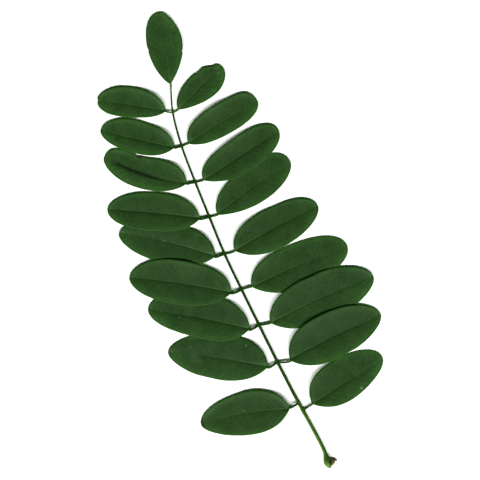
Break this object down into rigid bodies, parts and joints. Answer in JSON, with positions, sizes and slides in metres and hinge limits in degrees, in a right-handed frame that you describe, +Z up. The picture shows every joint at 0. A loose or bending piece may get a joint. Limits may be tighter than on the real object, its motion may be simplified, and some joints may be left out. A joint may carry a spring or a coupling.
{
  "type": "black locust leaf",
  "caption": "Pinnate compound leaf lying flat: oval leaflets in opposite pairs along a slender stalk, one at the tip, and a swollen torn foot.",
  "frame": {"origin": "on the surface that the leaf lies on, under the middle of its outline", "axes": "+Y along the leaf from the petiole's foot to the tip leaflet, +X to its right seen from above, +Z up from the surface to the leaf's upper side"},
  "size_m": [0.1036, 0.2194, 0.0034],
  "materials": {
    "leaf_blade": "satin",
    "leaf_stalk": "satin",
    "torn_tissue": "matte"
  },
  "bodies": {
    "root": {"leaf": "leaf_blade"}
  },
  "joints": []
}
